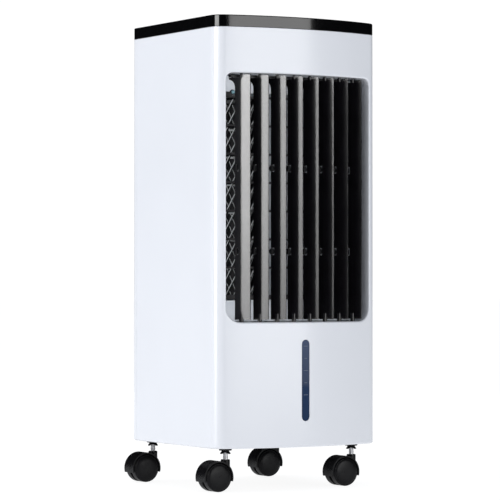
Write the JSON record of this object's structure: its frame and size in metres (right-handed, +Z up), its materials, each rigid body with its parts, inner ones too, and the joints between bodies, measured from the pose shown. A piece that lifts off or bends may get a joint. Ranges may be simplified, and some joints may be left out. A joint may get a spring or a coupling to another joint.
{
  "type": "evaporative cooler",
  "caption": "Slim tower evaporative air cooler with a bowed front, vertical swing louvers, a cross-flow fan, a pull-out water tank, a level window and twin-wheel casters.",
  "frame": {"origin": "on the floor, under the centre of the whole object's outline at rest, casters trailing to -X and cord cleats included", "axes": "+Z up, -Y the way the air leaves (front), +X to the right for someone facing the front"},
  "size_m": [0.2784, 0.2814, 0.66],
  "materials": {
    "white_plastic": "smooth white ABS, soft gloss",
    "gloss_black": "polished piano black",
    "black_plastic": "satin black",
    "louver_black": "satin gloss black",
    "grey_plastic": "fine grain grey",
    "blue_window": "clear blue tinted",
    "display_lens": "smoked lens",
    "button_black": "satin key caps with pale rings",
    "tank_plastic": "milky translucent",
    "bright_steel": "zinc plated",
    "motor_steel": "plain steel can",
    "soft_tube": "translucent silicone",
    "cord_rubber": "matt PVC",
    "pad_paper": "fluted cellulose",
    "filter_mesh": "fine woven net",
    "board_green": "solder mask",
    "caster_black": "satin nylon"
  },
  "bodies": {
    "housing": {"front_shell": "white_plastic", "rear_cover": "white_plastic", "base_plate": "black_plastic", "top_cover": "gloss_black", "display_lens": "display_lens", "level_window": "blue_window", "tank_deck": "grey_plastic", "pump": "black_plastic", "pump_hose": "soft_tube", "cooling_pad": "pad_paper", "water_distributor": "grey_plastic", "scroll_casing": "white_plastic", "top_bearing": "bright_steel", "fan_motor": "motor_steel", "motor_bracket": "bright_steel", "outlet_guard": "black_plastic", "swing_motor": "motor_steel", "control_board": "board_green", "power_cord": "cord_rubber", "caster_front_left_stem": "bright_steel", "caster_front_right_stem": "bright_steel", "caster_rear_left_stem": "bright_steel", "caster_rear_right_stem": "bright_steel"},
    "fan": {"crossflow_wheel": "black_plastic", "fan_shaft": "bright_steel"},
    "louver_1": {"louver_1": "louver_black"},
    "louver_2": {"louver_2": "louver_black"},
    "louver_3": {"louver_3": "louver_black"},
    "louver_4": {"louver_4": "louver_black"},
    "louver_5": {"louver_5": "louver_black"},
    "louver_6": {"louver_6": "louver_black"},
    "louver_7": {"louver_7": "louver_black"},
    "louver_8": {"louver_8": "louver_black"},
    "drive_bar": {"drive_bar": "black_plastic"},
    "tie_bar_lower": {"tie_bar_lower": "black_plastic"},
    "tie_bar_upper": {"tie_bar_upper": "black_plastic"},
    "tank": {"water_tank": "tank_plastic"},
    "tank_latch": {"tank_latch": "grey_plastic"},
    "rear_filter": {"rear_filter_frame": "white_plastic", "dust_filter": "filter_mesh"},
    "button_power": {"button_power": "button_black"},
    "button_speed": {"button_speed": "button_black"},
    "button_swing": {"button_swing": "button_black"},
    "button_cool": {"button_cool": "button_black"},
    "caster_front_left_swivel": {"caster_front_left_hood": "caster_black", "caster_front_left_axle": "bright_steel"},
    "caster_front_left_wheel_a": {"caster_front_left_wheel_a": "caster_black"},
    "caster_front_left_wheel_b": {"caster_front_left_wheel_b": "caster_black"},
    "caster_front_right_swivel": {"caster_front_right_hood": "caster_black", "caster_front_right_axle": "bright_steel"},
    "caster_front_right_wheel_a": {"caster_front_right_wheel_a": "caster_black"},
    "caster_front_right_wheel_b": {"caster_front_right_wheel_b": "caster_black"},
    "caster_rear_left_swivel": {"caster_rear_left_hood": "caster_black", "caster_rear_left_axle": "bright_steel"},
    "caster_rear_left_wheel_a": {"caster_rear_left_wheel_a": "caster_black"},
    "caster_rear_left_wheel_b": {"caster_rear_left_wheel_b": "caster_black"},
    "caster_rear_right_swivel": {"caster_rear_right_hood": "caster_black", "caster_rear_right_axle": "bright_steel"},
    "caster_rear_right_wheel_a": {"caster_rear_right_wheel_a": "caster_black"},
    "caster_rear_right_wheel_b": {"caster_rear_right_wheel_b": "caster_black"}
  },
  "joints": [
    {"name": "fan_spin", "type": "hinge", "parent": "housing", "child": "fan", "pos_m": [-0.0393, -0.02435, 0.412], "axis": [0, 0, 1], "continuous": true},
    {"name": "louver_1_swing", "type": "hinge", "parent": "housing", "child": "louver_1", "pos_m": [-0.0852, -0.11686, 0.406], "axis": [0, 0, 1], "range_deg": [-79.5, 10.5]},
    {"name": "louver_2_swing", "type": "hinge", "parent": "housing", "child": "louver_2", "pos_m": [-0.0588, -0.12236, 0.406], "axis": [0, 0, 1], "range_deg": [-79.5, 10.5]},
    {"name": "louver_3_swing", "type": "hinge", "parent": "housing", "child": "louver_3", "pos_m": [-0.0324, -0.12594, 0.406], "axis": [0, 0, 1], "range_deg": [-79.5, 10.5]},
    {"name": "louver_4_swing", "type": "hinge", "parent": "housing", "child": "louver_4", "pos_m": [-0.006, -0.12767, 0.406], "axis": [0, 0, 1], "range_deg": [-79.5, 10.5]},
    {"name": "louver_5_swing", "type": "hinge", "parent": "housing", "child": "louver_5", "pos_m": [0.0204, -0.12757, 0.406], "axis": [0, 0, 1], "range_deg": [-79.5, 10.5]},
    {"name": "louver_6_swing", "type": "hinge", "parent": "housing", "child": "louver_6", "pos_m": [0.0468, -0.12563, 0.406], "axis": [0, 0, 1], "range_deg": [-79.5, 10.5]},
    {"name": "louver_7_swing", "type": "hinge", "parent": "housing", "child": "louver_7", "pos_m": [0.0732, -0.12183, 0.406], "axis": [0, 0, 1], "range_deg": [-79.5, 10.5]},
    {"name": "louver_8_swing", "type": "hinge", "parent": "housing", "child": "louver_8", "pos_m": [0.0996, -0.11611, 0.406], "axis": [0, 0, 1], "range_deg": [-79.5, 10.5]},
    {"name": "drive_bar_pin", "type": "hinge", "parent": "louver_1", "child": "drive_bar", "pos_m": [-0.09313, -0.10532, 0.5765], "axis": [0, 0, 1], "range_deg": [-10.5, 79.5]},
    {"name": "tie_bar_lower_pin", "type": "hinge", "parent": "louver_1", "child": "tie_bar_lower", "pos_m": [-0.08979, -0.11018, 0.333], "axis": [0, 0, 1], "range_deg": [-10.5, 79.5]},
    {"name": "tie_bar_upper_pin", "type": "hinge", "parent": "louver_1", "child": "tie_bar_upper", "pos_m": [-0.08979, -0.11018, 0.449], "axis": [0, 0, 1], "range_deg": [-10.5, 79.5]},
    {"name": "tank_pull", "type": "slide", "parent": "housing", "child": "tank", "axis": [0, 1, 0], "range_m": [0, 0.18]},
    {"name": "tank_latch_turn", "type": "hinge", "parent": "housing", "child": "tank_latch", "pos_m": [0.0057, 0.12465, 0.2405], "axis": [0, -1, 0], "range_deg": [-90, 0]},
    {"name": "rear_filter_pull", "type": "slide", "parent": "housing", "child": "rear_filter", "axis": [0, 1, 0], "range_m": [0, 0.05]},
    {"name": "button_power_press", "type": "slide", "parent": "housing", "child": "button_power", "axis": [0, 0, -1], "range_m": [0, 0.0012]},
    {"name": "button_speed_press", "type": "slide", "parent": "housing", "child": "button_speed", "axis": [0, 0, -1], "range_m": [0, 0.0012]},
    {"name": "button_swing_press", "type": "slide", "parent": "housing", "child": "button_swing", "axis": [0, 0, -1], "range_m": [0, 0.0012]},
    {"name": "button_cool_press", "type": "slide", "parent": "housing", "child": "button_cool", "axis": [0, 0, -1], "range_m": [0, 0.0012]},
    {"name": "caster_front_left_turn", "type": "hinge", "parent": "housing", "child": "caster_front_left_swivel", "pos_m": [-0.0988, -0.09635, 0.045], "axis": [0, 0, 1], "continuous": true},
    {"name": "caster_front_left_roll_a", "type": "hinge", "parent": "caster_front_left_swivel", "child": "caster_front_left_wheel_a", "pos_m": [-0.1162, -0.09635, 0.02], "axis": [0, 1, 0], "continuous": true},
    {"name": "caster_front_left_roll_b", "type": "hinge", "parent": "caster_front_left_swivel", "child": "caster_front_left_wheel_b", "pos_m": [-0.1162, -0.09635, 0.02], "axis": [0, 1, 0], "continuous": true},
    {"name": "caster_front_right_turn", "type": "hinge", "parent": "housing", "child": "caster_front_right_swivel", "pos_m": [0.1102, -0.09635, 0.045], "axis": [0, 0, 1], "continuous": true},
    {"name": "caster_front_right_roll_a", "type": "hinge", "parent": "caster_front_right_swivel", "child": "caster_front_right_wheel_a", "pos_m": [0.0928, -0.09635, 0.02], "axis": [0, 1, 0], "continuous": true},
    {"name": "caster_front_right_roll_b", "type": "hinge", "parent": "caster_front_right_swivel", "child": "caster_front_right_wheel_b", "pos_m": [0.0928, -0.09635, 0.02], "axis": [0, 1, 0], "continuous": true},
    {"name": "caster_rear_left_turn", "type": "hinge", "parent": "housing", "child": "caster_rear_left_swivel", "pos_m": [-0.0988, 0.11165, 0.045], "axis": [0, 0, 1], "continuous": true},
    {"name": "caster_rear_left_roll_a", "type": "hinge", "parent": "caster_rear_left_swivel", "child": "caster_rear_left_wheel_a", "pos_m": [-0.1162, 0.11165, 0.02], "axis": [0, 1, 0], "continuous": true},
    {"name": "caster_rear_left_roll_b", "type": "hinge", "parent": "caster_rear_left_swivel", "child": "caster_rear_left_wheel_b", "pos_m": [-0.1162, 0.11165, 0.02], "axis": [0, 1, 0], "continuous": true},
    {"name": "caster_rear_right_turn", "type": "hinge", "parent": "housing", "child": "caster_rear_right_swivel", "pos_m": [0.1102, 0.11165, 0.045], "axis": [0, 0, 1], "continuous": true},
    {"name": "caster_rear_right_roll_a", "type": "hinge", "parent": "caster_rear_right_swivel", "child": "caster_rear_right_wheel_a", "pos_m": [0.0928, 0.11165, 0.02], "axis": [0, 1, 0], "continuous": true},
    {"name": "caster_rear_right_roll_b", "type": "hinge", "parent": "caster_rear_right_swivel", "child": "caster_rear_right_wheel_b", "pos_m": [0.0928, 0.11165, 0.02], "axis": [0, 1, 0], "continuous": true}
  ],
  "couplings": [
    {"joint": "louver_2_swing", "follows": "louver_1_swing", "ratio": 1},
    {"joint": "louver_3_swing", "follows": "louver_1_swing", "ratio": 1},
    {"joint": "louver_4_swing", "follows": "louver_1_swing", "ratio": 1},
    {"joint": "louver_5_swing", "follows": "louver_1_swing", "ratio": 1},
    {"joint": "louver_6_swing", "follows": "louver_1_swing", "ratio": 1},
    {"joint": "louver_7_swing", "follows": "louver_1_swing", "ratio": 1},
    {"joint": "louver_8_swing", "follows": "louver_1_swing", "ratio": 1},
    {"joint": "drive_bar_pin", "follows": "louver_1_swing", "ratio": -1},
    {"joint": "tie_bar_lower_pin", "follows": "louver_1_swing", "ratio": -1},
    {"joint": "tie_bar_upper_pin", "follows": "louver_1_swing", "ratio": -1}
  ]
}
